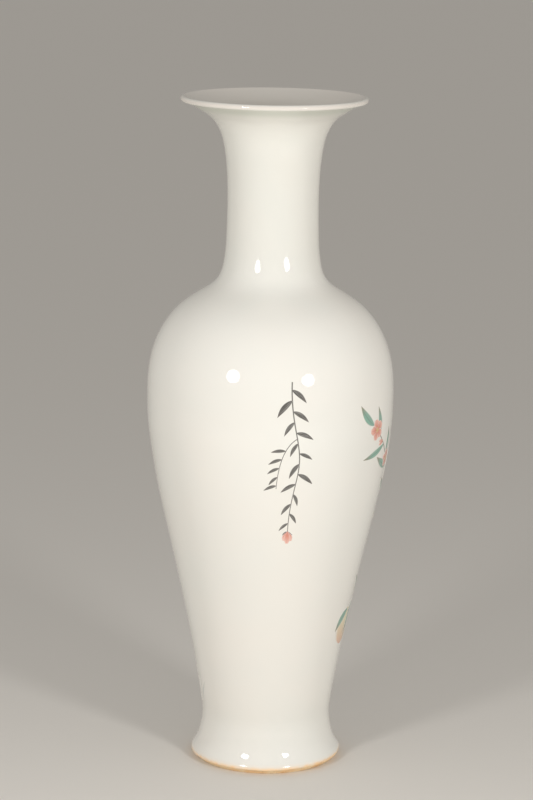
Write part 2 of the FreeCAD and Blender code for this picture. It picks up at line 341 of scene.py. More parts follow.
# %% [markdown]
# To turn a shape, one vertex is drawn out point by point along the outline and then spun round the
# wheel's axis. Each point carries a few marks, such as how far the glaze pools there. They are set
# on the line before it is spun, so every copy of a point round the vase keeps them.

# %% Draw a line and spin it
TURN_STEPS = 192
MERGE = 0.002 * MM


def clear_selection():
    """Nothing selected, in object mode."""
    if bpy.context.mode != "OBJECT":
        bpy.ops.object.mode_set(mode="OBJECT")
    bpy.ops.object.select_all(action="DESELECT")


def pick(piece):
    """Only this piece selected and active."""
    clear_selection()
    piece.select_set(True)
    bpy.context.view_layer.objects.active = piece


def draw_line(name, points):
    """Chain of edges through (radius, height) points in mm, drawn from one vertex."""
    clear_selection()
    bpy.ops.mesh.primitive_plane_add(size=MM)
    piece = bpy.context.active_object
    piece.name = piece.data.name = name
    bpy.ops.object.mode_set(mode="EDIT")
    bpy.ops.mesh.merge(type="CENTER")
    places = [Vector((r * MM, 0, z * MM)) for r, z in points]
    bpy.ops.transform.translate(value=places[0])
    for here, there in zip(places, places[1:]):
        bpy.ops.mesh.extrude_region_move(TRANSFORM_OT_translate={"value": there - here})
    bpy.ops.object.mode_set(mode="OBJECT")
    return piece


def mark_points(piece, name, values):
    """Named value on each point of a drawn line, from 0 to 1."""
    mark = piece.data.attributes.new(name, "FLOAT", "POINT")
    mark.data.foreach_set("value", np.array(values, np.float32))


def spin_line(piece, steps=TURN_STEPS):
    """Turns the drawn line once round the wheel's axis and closes the seam and the poles."""
    pick(piece)
    bpy.ops.object.mode_set(mode="EDIT")
    bpy.ops.mesh.select_all(action="SELECT")
    bpy.ops.mesh.spin(steps=steps, angle=math.tau, center=(0, 0, 0), axis=(0, 0, 1))
    bpy.ops.mesh.select_all(action="SELECT")
    bpy.ops.mesh.remove_doubles(threshold=MERGE)
    bpy.ops.mesh.normals_make_consistent(inside=False)
    bpy.ops.object.mode_set(mode="OBJECT")
    print(piece.name, "has", len(piece.data.polygons), "faces after the turn")
    return piece


# %% [markdown]
# The glazed porcelain is one closed shape: the outside up to the lip, over it, and down the inside
# to the floor. It stands for both coats of glaze. Glaze runs a little in the kiln, so it is thicker
# in the waist and under the lip. It is thin where it stretches over the lip's edge, and inside.
# Under the lip and inside the mouth these tints also darken the glaze as painted shade.

# %% How thick the glaze lies
# Each pool of glaze has a spread in mm and a strength.
HEM_POOL, WAIST_POOL, LIP_POOL_AND_SHADE, FLOOR_POOL = (7.0, 0.05), (14.0, 0.05), (6.0, 0.9), (14.0, 0.4)
NECK_POOL, NECK_POOL_START, NECK_POOL_RAMP = 0.12, NECK_HEIGHT - 60, 22.0
INSIDE_POOL_AND_SHADE, INSIDE_THIN_AND_SHADE = 0.12, 0.6
# Middle of the tint under the lip, set below the cove, where it is pooled glaze and painted shade.
UNDER_LIP_POOL_AND_SHADE = COVE_CENTRE + (-3.4, -2.4)
LIP_EDGE, LIP_EDGE_WIDTH = BEAD_CENTRE + toward(5) * BEAD_ROUND, 1.3
FLASH_WIDTH = 1.7


def fade(distance, width):
    """One at no distance, falling smoothly to nothing at about two widths."""
    return math.exp(-((distance / width) ** 2))


def pool(distance, spread, strength):
    """Depth of a pool of glaze at a distance from its middle."""
    return strength * fade(distance, spread)


def pooling_and_shade(place, outside):
    """How thick the glaze lies at a place; under the lip and inside it is also painted shade."""
    height = place[1]
    if not outside:
        # Inside the mouth the tint is partly painted shade.
        return INSIDE_POOL_AND_SHADE + pool(height - FLOOR_HEIGHT, *FLOOR_POOL)
    up_neck = min(1.0, max(0.0, (height - NECK_POOL_START) / NECK_POOL_RAMP))
    return max(
        # Under the lip the pool is also painted shade.
        pool(math.dist(place, UNDER_LIP_POOL_AND_SHADE), *LIP_POOL_AND_SHADE),
        pool(height - GLAZE_LINE, *HEM_POOL),
        pool(height - FOOT_RISE, *WAIST_POOL),
        NECK_POOL * up_neck,
    )


def thinning_and_shade(place, outside):
    """How thin the glaze is: drawn off the lip's outer edge, and poured out of the inside, which is
    also painted shade.
    """
    edge = fade(math.dist(place, LIP_EDGE), LIP_EDGE_WIDTH)
    return edge if outside else max(edge, INSIDE_THIN_AND_SHADE)


print("deepest pool outside:", round(max(pooling_and_shade(place, True) for place in OUTSIDE), 2))

# %% Turn the glazed porcelain
HEM_ROLL = 0.28
HEM_CURL = ((1.1, 0.35), (0.75, 0.62), (0.3, 0.42))
UNDER_FLOOR = 0.3


def turn_porcelain():
    """Both coats of glaze in one, with the rolled hem and the hidden underside of the floor."""
    hem_low = FOOT_CENTRE + toward(foot_arc_start(0)) * FOOT_EDGE_ROUND
    hem = [hem_low - HEM_ROLL * np.array(share) for share in HEM_CURL]
    floor = FLOOR_HEIGHT - UNDER_FLOOR
    under = [(0, floor), (LEDGE_RADIUS - 0.2, floor), (BEVEL_TOP[0] - 1.6, GLAZE_LINE + 2.2)]
    line = [*under, *hem, *OUTSIDE, *inside_points()]
    start = len(under) + len(hem)
    sides = [start <= i < start + len(OUTSIDE) for i in range(len(line))]
    piece = draw_line("porcelain_glaze", line)
    # The pool and thin marks also carry painted shade under the lip and inside the mouth.
    mark_points(piece, "pool", [pooling_and_shade(p, side) for p, side in zip(line, sides)])
    mark_points(piece, "thin", [thinning_and_shade(p, side) for p, side in zip(line, sides)])
    mark_points(piece, "hem", [fade(max(0.0, p[1] - GLAZE_LINE), FLASH_WIDTH) for p in line])
    return spin_line(piece)


porcelain = turn_porcelain()

# %% [markdown]
# The bare foot is one turned shape as well. Only its bevel, its ring and the first millimetres
# inside the ring show, and there the clay is rough and scraped, so a small noise moves those faces.

# %% Turn the bare foot
FOOT_TOP = FOOT_RISE + SEAM_STEP
RECESS_LEVELS = (1.2, 2.0, 3.0, 5.0, 8.0)
SCRAPED_TOP, SCRAPED_FADE, FLAT_GRAIN = GLAZE_LINE - 0.4, 0.5, 0.25


def clay_surface(under, last):
    """Outside of the clay under the glaze, from the bevel to the seam."""
    start, radius = foot_arc_start(under), FOOT_EDGE_ROUND - under
    arc = round_run(FOOT_CENTRE, radius, start, FOOT_FLARE_ANGLE, 8)
    coat = [p + n * under for p, n in zip(STATIONS, INWARD)]
    wall = smooth_run(coat, FOOT_DIRECTION, FLARE_DIRECTION, OUTER_SPACING)
    return arc[:-1] + [p for p in wall if p[1] <= last]


def turn_foot():
    """Foot of bare clay, from the bevel round the ring and the recess to the seam and back."""
    corner = FOOT_RING_ROUND
    low_out = round_run(np.array((RING_OUTER - corner, corner)), corner, -45, -90, 4)
    low_in = round_run(np.array((RING_INNER + corner, corner)), corner, -90, -180, 5)
    flat = [(r, 0) for r in np.linspace(RING_OUTER - 2 * corner, RING_INNER + 2 * corner, 7)]
    bevel = [BEVEL_TOP + (low_out[0] - BEVEL_TOP) * t for t in np.linspace(0, 1, 9)]
    recess = [(RING_INNER, z) for z in RECESS_LEVELS]
    ledge = [(LEDGE_RADIUS + LEDGE_WIDTH, LEDGE_HEIGHT), (LEDGE_RADIUS, LEDGE_HEIGHT)]
    inner = [(WAIST_RADIUS - WAIST_WALL + 0.5, z) for z in (FOOT_RISE - 6, FOOT_TOP)]
    middle = WAIST_RADIUS - GLAZE - WAIST_WALL / 2
    tongue = [(middle, FOOT_TOP), (middle, FOOT_RISE)]
    outer = clay_surface(GLAZE, FOOT_RISE)[::-1]
    line = bevel[:-1] + low_out + flat + low_in + recess + ledge + inner + tongue + outer
    piece = draw_line("bare_foot", line)
    group = piece.vertex_groups.new(name="scraped")
    for i, (_, height) in enumerate(line):
        scraped = fade(max(0.0, height - SCRAPED_TOP), SCRAPED_FADE)
        group.add([i], scraped if height > 0.01 else FLAT_GRAIN, "REPLACE")
    return spin_line(piece, 2 * TURN_STEPS)


foot = turn_foot()

# %% [markdown]
# A modifier is a tool that works on the whole mesh. One helper adds and applies any of them, and
# another uses Displace with a cloudy noise, which only ever takes clay away.

# %% Scrape the clay
GRAIN_DEPTH = 0.16
GRAIN_SIZE = 1.3


def use_tool(piece, kind, **settings):
    """Adds a modifier with these settings and applies it."""
    tool = piece.modifiers.new(kind.lower(), kind)
    for key, value in settings.items():
        setattr(tool, key, value)
    pick(piece)
    bpy.ops.object.modifier_apply(modifier=tool.name)


def roughen(piece, group, depth, grain, name, direction="NORMAL", detail=3):
    """Moves marked faces by a cloudy noise, inwards only."""
    noise = bpy.data.textures.new(name, "CLOUDS")
    noise.noise_scale = grain * MM
    noise.noise_depth = detail
    use_tool(
        piece, "DISPLACE", texture=noise, texture_coords="LOCAL", direction=direction,
        vertex_group=group, strength=depth * MM, mid_level=1.0,
    )


roughen(foot, "scraped", GRAIN_DEPTH, GRAIN_SIZE, "scraped_clay")
print("lowest point of the foot:", round(min(v.co.z for v in foot.data.vertices) / MM, 3), "mm")

# %% [markdown]
# The hem of the glaze isn't cut with a knife: the potter wipes the foot with a sponge, and the
# glaze then creeps. The same noise lifts the hem unevenly by a few tenths of a millimetre. On the
# right the sponge reached higher, so the hem also rises by a millimetre towards that side.

# %% Let the hem wander
HEM_WANDER, HEM_WAVE, HEM_RISE = 0.40, 11.0, 1.1
HEM_ZONE, HEM_REACH = 14, 2.6


def wander_hem(piece):
    """Lifts the hem by a slow noise all round, and more towards the right."""
    edge = piece.vertex_groups.new(name="hem_edge")
    right = piece.vertex_groups.new(name="hem_right")
    for v in piece.data.vertices:
        radius, height = math.hypot(v.co.x, v.co.y) / MM, v.co.z / MM
        if radius > RING_OUTER and height < HEM_ZONE:
            near = fade(max(0.0, height - GLAZE_LINE), HEM_REACH)
            edge.add([v.index], near, "REPLACE")
            right.add([v.index], near * max(0.0, v.co.x / MM / radius) ** 2, "REPLACE")
    roughen(piece, edge.name, -HEM_WANDER, HEM_WAVE, "sponged_hem", "Z", 1)
    use_tool(
        piece, "DISPLACE", direction="Z", mid_level=0, strength=HEM_RISE * MM,
        vertex_group=right.name,
    )


wander_hem(porcelain)
print("lowest glaze:", round(min(v.co.z for v in porcelain.data.vertices) / MM, 2), "mm")

# %% [markdown]
# Under the foot the hollow is glazed too, down to a wiped line inside the ring.

# %% Turn the glaze in the recess
RECESS_COAT, RECESS_COVE = 0.2, 2.0


def turn_recess():
    """Coat of glaze up the recess wall and across the disc, thick enough to be closed."""
    low, top = RECESS_GLAZE_LINE, RECESS_DEPTH + RECESS_COAT
    face_height = RECESS_DEPTH - RECESS_COAT
    wall = [(RING_INNER - 0.02 * z, z) for z in (top, low)]
    inset = RECESS_COVE + RECESS_COAT
    cove_centre = np.array((RING_INNER - inset, RECESS_DEPTH - inset))
    cove = round_run(cove_centre, RECESS_COVE, 0, 90, 8)
    hem = [(RING_INNER - 0.25, low + 0.05), (RING_INNER - GLAZE, low + 0.5)]
    across = [(r, face_height) for r in (30, 20, 10, 0)]
    return spin_line(draw_line("recess_glaze", [(0, top), *wall, *hem, *cove, *across]))


recess = turn_recess()

# %% [markdown]
# Materials. Every finish here starts from one Principled shader and the piece's own coordinates.
# Noise, marks carried by the mesh and tints between two colours are then joined to it, and each of
# these steps is a helper, because every finish below is made of them.

# %% Helpers for finishes
def new_finish(name, roughness, specular=0.5):
    """Material with a Principled shader and the piece's own coordinates."""
    finish = bpy.data.materials.new(name)
    finish.use_nodes = True
    shader = finish.node_tree.nodes["Principled BSDF"]
    feed(finish, shader.inputs["Roughness"], roughness)
    feed(finish, shader.inputs["Specular IOR Level"], specular)
    print("new finish:", name)
    return finish, shader, add_node(finish, "ShaderNodeTexCoord").outputs["Object"]


def noise_at(finish, place, per_metre, detail=3.0):
    """Noise whose pattern repeats about this many times in a metre."""
    fed = {"Vector": place, "Scale": per_metre, "Detail": detail}
    return add_node(finish, "ShaderNodeTexNoise", fed).outputs["Fac"]


def times(finish, first, second):
    """Product of two values, either of which may be a number."""
    fed = {0: first, 1: second}
    return add_node(finish, "ShaderNodeMath", fed, operation="MULTIPLY").outputs[0]


def tint(finish, colour, other, share):
    """Colour moved towards another by a share."""
    fed = {"Factor": share, 6: colour, 7: other}
    return add_node(finish, "ShaderNodeMix", fed, data_type="RGBA").outputs[2]


def mark_value(finish, name):
    """A mark that the mesh carries."""
    return add_node(finish, "ShaderNodeAttribute", attribute_name=name).outputs["Fac"]


def relieve(finish, shader, value, depth_mm):
    """Small relief on the surface."""
    fed = {"Height": value, "Strength": 1.0, "Distance": depth_mm * MM}
    bump = add_node(finish, "ShaderNodeBump", fed)
    feed(finish, shader.inputs["Normal"], bump.outputs["Normal"])


# %% [markdown]
# Glaze is a clear, hard gloss over a cream body. Broad noise drifts its colour a little. The marks
# made on the outline tint it: green-grey where glaze pools, pink where it is thin, and orange where
# it meets the bare clay. Under the lip and inside the mouth the green-grey and pink tints are also
# painted shade. A few iron specks and a very faint unevenness keep it from looking like plastic.

# %% Porcelain glaze
CREAM = (0.862, 0.828, 0.762)
CREAM_COOL = (0.838, 0.822, 0.762)
POOLED_AND_SHADED = (0.51, 0.54, 0.45)
THIN_GLAZE_AND_SHADE = (0.80, 0.70, 0.63)
FLASHED = (1.0, 0.66, 0.35)
IRON = (0.20, 0.10, 0.05)
POOL_AND_SHADE_TINT, THIN_AND_SHADE_TINT, SPECK_TINT = 0.8, 0.55, 0.75
GLAZE_ROUGHNESS, GLAZE_RELIEF = 0.06, 0.012
# Per metre: drifts of colour, waves of the surface, patches at the hem, cells for specks.
DRIFTS, WAVES, FLASHES, SPECK_CELLS = 14, 160, 260, 55
SPECK_RIM = (0.012, 0.020)


def cream_ground(finish, place):
    """The glaze's own drifting colour, shared by the enamels' edges."""
    drift = stretch(finish, noise_at(finish, place, DRIFTS), 0.35, 0.65)
    return tint(finish, CREAM, CREAM_COOL, drift)


def iron_specks(finish, place, colour):
    """A few tiny brown specks, in one cell out of many."""
    fed = {"Vector": place, "Scale": SPECK_CELLS}
    cells = add_node(finish, "ShaderNodeTexVoronoi", fed).outputs
    near = stretch(finish, cells["Distance"], *SPECK_RIM, 1.0, 0.0)
    split = add_node(finish, "ShaderNodeSeparateColor", {0: cells["Color"]})
    chosen = stretch(finish, split.outputs[0], 0.90, 0.91)
    return tint(finish, colour, IRON, times(finish, times(finish, near, chosen), SPECK_TINT))


def glaze_finish():
    """Cream glaze, tinted where it pools, thins out or ends, with painted shade under the lip and
    inside, specks and a faint relief.
    """
    finish, shader, place = new_finish("porcelain_glaze", GLAZE_ROUGHNESS)
    pooled_and_shaded = times(finish, mark_value(finish, "pool"), POOL_AND_SHADE_TINT)
    thinned_and_shaded = times(finish, mark_value(finish, "thin"), THIN_AND_SHADE_TINT)
    patches = stretch(finish, noise_at(finish, place, FLASHES), 0.25, 0.65, 0.35, 1.0)
    flashed = times(finish, mark_value(finish, "hem"), patches)
    colour = cream_ground(finish, place)
    for other, share in ((POOLED_AND_SHADED, pooled_and_shaded), (THIN_GLAZE_AND_SHADE, thinned_and_shaded), (FLASHED, flashed)):
        colour = tint(finish, colour, other, share)
    feed(finish, shader.inputs["Base Color"], iron_specks(finish, place, colour))
    relieve(finish, shader, noise_at(finish, place, WAVES, 1.0), GLAZE_RELIEF)
    return finish


# %% [markdown]
# Fired porcelain without glaze is matt. Where it isn't covered, the kiln's flame leaves it orange
# in patches, with darker bits of grit from the shelf it stood on.

# %% Bare clay and slip
CLAY = (1.0, 0.79, 0.51)
CLAY_ORANGE = (0.94, 0.61, 0.31)
CLAY_PALE = (0.80, 0.70, 0.55)
GRIT = (0.20, 0.11, 0.05)
CLAY_ROUGHNESS, CLAY_SPECULAR, CLAY_RELIEF, GRIT_TINT = 0.72, 0.35, 0.05, 0.5
# Per metre: flame patches, bits of grit, grain of the clay.
PATCHES, GRITS, GRAINS = 110, 900, 1600


def biscuit_finish(name, pale, orange):
    """Matt clay with patches of a second colour, grit and a fine grain."""
    finish, shader, place = new_finish(name, CLAY_ROUGHNESS, CLAY_SPECULAR)
    patches = stretch(finish, noise_at(finish, place, PATCHES), 0.38, 0.66)
    grit = stretch(finish, noise_at(finish, place, GRITS, 2.0), 0.63, 0.72)
    colour = tint(finish, pale, orange, patches)
    colour = tint(finish, colour, GRIT, times(finish, grit, GRIT_TINT))
    feed(finish, shader.inputs["Base Color"], colour)
    relieve(finish, shader, noise_at(finish, place, GRAINS), CLAY_RELIEF)
    return finish


# %% [markdown]
# Each turned piece gets its finish and says which coats or clay of the model it stands for. The
# other pieces of the model stay as they are, inside the wall, in hidden clay.

# %% Dress the turned pieces
TURNED_EDGE = math.radians(50)


def wear(piece, finish):
    """The piece's only material."""
    piece.data.materials.clear()
    piece.data.materials.append(finish)


def place_on_body(piece, slot, *nodes):
    """The piece rides with the vase and stands for these nodes."""
    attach(piece, "root")
    if nodes:
        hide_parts(*nodes)


GLAZED = glaze_finish()
BARE = biscuit_finish("flashed_biscuit", CLAY, CLAY_ORANGE)
HIDDEN_CLAY = biscuit_finish("body_biscuit", CLAY_PALE, CLAY)
TURNED = (
    (porcelain, GLAZED, "glaze", ("outer_glaze", "inner_glaze")),
    (foot, BARE, "biscuit", ("foot_section",)),
    (recess, GLAZED, "glaze", ("base_glaze",)),
)
for piece, finish, slot, nodes in TURNED:
    wear(piece, finish)
    place_on_body(piece, slot, *nodes)
    pick(piece)
    bpy.ops.object.shade_smooth_by_angle(angle=TURNED_EDGE)
replaced = [node for row in TURNED for node in row[-1]]
kept = [node for name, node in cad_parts.items() if name not in replaced]
for node in kept:
    wear(node, HIDDEN_CLAY)
print("turned pieces stand for", ", ".join(replaced), "and", len(kept), "CAD nodes are kept")

# %% [markdown]
# Overglaze painting. Enamel is coloured glass, brushed on the fired glaze and fired again, so a
# stroke is a thin sheet that stands up to a quarter of a millimetre proud. One touch of the brush
# starts as a flat grid with its own UV map. Its rows are made as wide as the brush pressed there,
# and shifted where it bows.

# %% One touch of the brush
def shape_rows(piece, rows, width_at, shift_at):
    """Each row of a flat grid is narrowed and shifted to follow the brush."""
    row_of = [round(v.co.y * rows) for v in piece.data.vertices]
    pick(piece)
    bpy.ops.object.mode_set(mode="EDIT")
    bpy.ops.mesh.select_mode(type="VERT")
    for row in range(rows + 1):
        share = row / rows
        bpy.ops.mesh.select_all(action="DESELECT")
        sheet = bmesh.from_edit_mesh(piece.data)
        for v in sheet.verts:
            v.select_set(row_of[v.index] == row)
        sheet.select_flush_mode()
        bmesh.update_edit_mesh(piece.data)
        bpy.ops.transform.resize(value=(width_at(share), 1, 1), center_override=(0, share, 0))
        bpy.ops.transform.translate(value=(*shift_at(share), 0))
    bpy.ops.object.mode_set(mode="OBJECT")


def touch(name, length, width, width_at, bow=0.0, rows=14, columns=4, crowd=0.0):
    """Flat sheet, sizes in mm, that points up from its root and is as wide as the brush pressed.

    A bow bends it sideways, and crowd draws its rows towards both ends.
    """
    clear_selection()
    bpy.ops.mesh.primitive_grid_add(
        x_subdivisions=columns, y_subdivisions=rows, size=1, location=(0, 0.5, 0), calc_uvs=True
    )
    piece = bpy.context.active_object
    piece.name = piece.data.name = name
    bpy.ops.object.transform_apply()

    def shift_at(t):
        return 4 * bow * t * (1 - t), -crowd * math.sin(math.tau * t)

    shape_rows(piece, rows, width_at, shift_at)
    piece.scale = (width * MM, length * MM, 1)
    bpy.ops.object.transform_apply()
    return piece


def leaf_width(t):
    """Broadest a little before the middle, drawn out to the tip."""
    return max(0.05, math.sin(math.pi * t**0.8) ** 0.85)


def petal_width(t):
    """Narrow at the root, broad and blunt at the end."""
    return max(0.18, math.sin(math.pi * min(0.93, t) ** 1.5) ** 0.6)


def fruit_width(t):
    """Round, a little fuller towards the stalk."""
    return max(0.03, math.sin(math.pi * t) * (1.06 - 0.16 * t))


LEAF = touch("brush_leaf", 26, 6.2, leaf_width, bow=0.22)
LEAF_BACK = touch("brush_leaf_back", 26, 6.2, leaf_width, bow=-0.22)
PETAL = touch("brush_petal", 7.2, 6.8, petal_width, rows=8)
FRUIT = touch("brush_fruit", 27, 26, fruit_width, rows=18, columns=12, crowd=0.125)
MODELS = [LEAF, LEAF_BACK, PETAL, FRUIT]
print("brush models:", [(m.name, len(m.data.polygons)) for m in MODELS])

# %% [markdown]
# The picture is laid out flat first, like a transfer print that fits round a drum just wider than
# the belly. A place is an angle from the front, to the right, and a height over the table. The vase
# is narrower than the drum, so a touch is stretched sideways by as much as the print will shrink
# there.

# %% Lay touches in the flat picture
DRUM_RADIUS = BELLY_RADIUS + 2
BODY_LINE = np.array([p for p in OUTSIDE if FOOT_END[1] <= p[1] <= FLARE_END[1]])
BODY_SLOPE = np.gradient(BODY_LINE[:, 0], BODY_LINE[:, 1])
rng = random.Random(11)


def flat_place(angle, height):
    """Point of the flat picture, in metres. The glaze's normal there leads to it from the vase."""
    radius = np.interp(height, BODY_LINE[:, 1], BODY_LINE[:, 0])
    slope = np.interp(height, BODY_LINE[:, 1], BODY_SLOPE)
    drop = (DRUM_RADIUS - radius) * slope
    return Vector((math.radians(angle + 180) * DRUM_RADIUS * MM, (height - drop) * MM, 0))


def stretch_at(place):
    """How much wider the drum is than the vase at this place's height."""
    return DRUM_RADIUS / np.interp(place.y / MM, BODY_LINE[:, 1], BODY_LINE[:, 0])


def lay(model, root, turn, length=1.0, width=1.0):
    """Copy of a touch with its root at a flat place, turned clockwise from straight up."""
    pick(model)
    bpy.ops.object.duplicate()
    copy = bpy.context.active_object
    copy.rotation_euler = (0, 0, -math.radians(turn))
    copy.scale = (width, length, 1)
    bpy.ops.object.transform_apply()
    copy.location = root
    copy.scale = (stretch_at(root), 1, 1)
    bpy.ops.object.transform_apply()
    return copy


def lay_leaf(root, turn, side, length, width):
    """Leaf that bows to one side (1) or the other (-1)."""
    return lay(LEAF if side > 0 else LEAF_BACK, root, turn, length, width)


# %% [markdown]
# A stem or a branch is a straight strip that a Curve modifier bends along a drawn path. The places
# where its leaves and flowers grow are then read from the middle of the bent strip.

# %% Draw stems and branches
STRIP_LENGTH, STRIP_ROWS = 100, 36


def draw_path(places):
    """Smooth curve in the flat picture, pulled towards these places."""
    drawn = bpy.data.curves.new("brush_path", "CURVE")
    drawn.dimensions = "3D"
    drawn.twist_mode = "Z_UP"
    drawn.use_stretch = drawn.use_deform_bounds = True
    run = drawn.splines.new("NURBS")
    run.points.add(len(places) - 1)
    for point, place in zip(run.points, places):
        point.co = (*place, 1)
    run.order_u = min(4, len(places))
    run.use_endpoint_u = True
    path = bpy.data.objects.new("brush_path", drawn)
    bpy.context.scene.collection.objects.link(path)
    return path


def stroke(corners, start_width, end_width):
    """Strip of paint along a path, and the points of its middle from start to end."""
    places = [flat_place(*corner) for corner in corners]
    first, last = start_width * stretch_at(places[0]), end_width * stretch_at(places[-1])
    strip = touch(
        "brush_line", STRIP_LENGTH, first, lambda t: 1 + (last / first - 1) * t,
        rows=STRIP_ROWS, columns=2,
    )
    upwards = sorted(strip.data.vertices, key=lambda v: v.co.y)
    middle = [v.index for v in upwards if abs(v.co.x) < 0.01 * MM]
    pick(strip)
    strip.rotation_euler = (0, 0, -math.pi / 2)
    bpy.ops.object.transform_apply()
    path = draw_path(places)
    use_tool(strip, "CURVE", object=path, deform_axis="POS_X")
    bpy.data.objects.remove(path)
    return strip, [strip.data.vertices[i].co.copy() for i in middle]


def along(line, share):
    """Place and real heading, clockwise from up, at a share of the way along a line."""
    where = share * (len(line) - 1)
    first = min(int(where), len(line) - 2)
    step = line[first + 1] - line[first]
    heading = math.atan2(step.x / stretch_at(line[first]), step.y)
    return line[first] + step * (where - first), math.degrees(heading)


# %% [markdown]
# The finished print stands up and a Curve modifier rolls it round the drum. Shrinkwrap then presses
# each point onto the glaze, square to the surface, and Solidify gives the enamel its thickness.
# Touches that cross lie in layers, each a hair above the last, as wet paint lies on dry.

# %% Roll the print on
FIRST_LIFT, LAYER_LIFT, PAINT_DEPTH = 0.04, 0.025, 0.06
PAINT_EDGE = math.radians(40)


def make_drum():
    """Circle that starts at the back and comes round by the left to the front."""
    clear_selection()
    bpy.ops.curve.primitive_bezier_circle_add(radius=DRUM_RADIUS * MM, rotation=(math.pi, 0, 0))
    circle = bpy.context.active_object
    circle.name = "print_drum"
    bpy.ops.object.transform_apply()
    circle.data.resolution_u = 48
    circle.data.twist_mode = "Z_UP"
    return circle


def join_pieces(pieces, name):
    """All these pieces as one, with one name."""
    clear_selection()
    for piece in pieces:
        piece.select_set(True)
    bpy.context.view_layer.objects.active = pieces[0]
    if len(pieces) > 1:
        bpy.ops.object.join()
    joined = bpy.context.active_object
    joined.name = joined.data.name = name
    return joined


def roll_on(layers, name, level=0):
    """Rolls layers of flat touches onto the glaze as one piece of enamel."""
    sheets = []
    for i, pieces in enumerate(layers):
        sheet = join_pieces(pieces, name)
        sheet.rotation_euler = (math.pi / 2, 0, 0)
        bpy.ops.object.transform_apply()
        lift = FIRST_LIFT + LAYER_LIFT * (level + i)
        use_tool(sheet, "CURVE", object=drum, deform_axis="POS_X")
        use_tool(
            sheet, "SHRINKWRAP", target=porcelain, wrap_method="TARGET_PROJECT",
            wrap_mode="ABOVE_SURFACE", offset=lift * MM,
        )
        use_tool(sheet, "SOLIDIFY", thickness=(lift + PAINT_DEPTH) * MM, offset=-1)
        sheets.append(sheet)
    painted = join_pieces(sheets, name)
    bpy.ops.object.shade_smooth_by_angle(angle=PAINT_EDGE)
    place_on_body(painted, "glaze")
    print(name, "has", len(painted.data.polygons), "faces")
    return painted


drum = make_drum()

# %% [markdown]
# An enamel's colour follows the brush: thin at the edges of a touch, where the glaze shows through,
# streaked along it, darker on its vein, and another tone at its tip. The UV map tells across from
# along, and the place on the vase makes every touch a little different.

# %% Enamel finishes
ENAMEL_ROUGHNESS = 0.13
STREAKS_ACROSS, STREAKS_ALONG = 11, 1.6
STREAK_SHIFT = 60
VEIN_FROM, VEIN_FULL = 0.40, 0.49


def brush_streaks(finish, sheet, place):
    """Noise drawn out along the touch."""
    fed = {0: sheet, 1: (STREAKS_ACROSS, STREAKS_ALONG, 1)}
    scaled = add_node(finish, "ShaderNodeVectorMath", fed, operation="MULTIPLY")
    fed = {0: place, 1: (STREAK_SHIFT,) * 3, 2: scaled.outputs[0]}
    shifted = add_node(finish, "ShaderNodeVectorMath", fed, operation="MULTIPLY_ADD")
    return noise_at(finish, shifted.outputs[0], 1.0, 2.0)


def enamel_finish(name, deep, light, tip, strength, tip_from=0.6, edge=0.5, vein=0.0):
    """Enamel streaked from deep to light, with a tip, a thin edge and perhaps a dark vein."""
    finish, shader, place = new_finish(name, ENAMEL_ROUGHNESS)
    sheet = add_node(finish, "ShaderNodeTexCoord").outputs["UV"]
    split = add_node(finish, "ShaderNodeSeparateXYZ", {0: sheet}).outputs
    fed = {0: split["X"], 1: 0.5}
    across = add_node(finish, "ShaderNodeMath", fed, operation="PINGPONG").outputs[0]
    streaks = brush_streaks(finish, sheet, place)
    at_tip = stretch(finish, split["Y"], tip_from, 1.0)
    on_vein = stretch(finish, across, VEIN_FROM, VEIN_FULL, 0.0, vein)
    colour = tint(finish, deep, light, stretch(finish, streaks, 0.32, 0.68))
    colour = tint(finish, tint(finish, colour, tip, at_tip), deep, on_vein)
    thin_edge = stretch(finish, across, 0.0, 0.5 * edge)
    body = times(finish, thin_edge, stretch(finish, streaks, 0.2, 0.6, 0.6, 1.0))
    ground = cream_ground(finish, place)
    colour = tint(finish, ground, colour, times(finish, body, strength))
    feed(finish, shader.inputs["Base Color"], colour)
    return finish


# %% [markdown]
# Seven enamels make the picture, each from a deep colour, a light one and one for the tip of a
# touch. Leaves have the strongest vein. Fine lines get a narrow edge, so that they don't fade.

# %% Colours of the painting
INK = enamel_finish(
    "ink_grey", (0.025, 0.022, 0.02), (0.065, 0.06, 0.055), (0.07, 0.05, 0.045), 0.95, edge=0.2
)
BARK = enamel_finish(
    "bark_brown", (0.07, 0.045, 0.03), (0.23, 0.16, 0.11), (0.12, 0.08, 0.05), 0.9, edge=0.25
)
LEAF_GREEN = enamel_finish(
    "leaf_green", (0.06, 0.22, 0.16), (0.22, 0.45, 0.34), (0.24, 0.15, 0.07), 0.9,
    tip_from=0.62, edge=0.25, vein=0.9,
)
CORAL = enamel_finish(
    "coral_red", (0.56, 0.10, 0.06), (0.78, 0.28, 0.18), (0.86, 0.47, 0.38), 0.9,
    tip_from=0.35, edge=0.2, vein=0.5,
)
OCHRE = enamel_finish(
    "pale_ochre", (0.70, 0.56, 0.27), (0.79, 0.70, 0.44), (0.72, 0.26, 0.15), 0.80,
    tip_from=0.4, edge=0.28,
)
STAMEN = enamel_finish(
    "stamen_yellow", (0.55, 0.34, 0.06), (0.72, 0.50, 0.12), (0.45, 0.22, 0.05), 0.95,
    tip_from=0.5, edge=0.1,
)
WASH = enamel_finish(
    "grey_blue_wash", (0.30, 0.37, 0.40), (0.46, 0.52, 0.52), (0.42, 0.45, 0.43), 0.55
)

# %% [markdown]
# On the front a thin sprig hangs to the right of the middle, in ink grey, with small leaves set by
# turns on its two sides and one coral bud at its end.

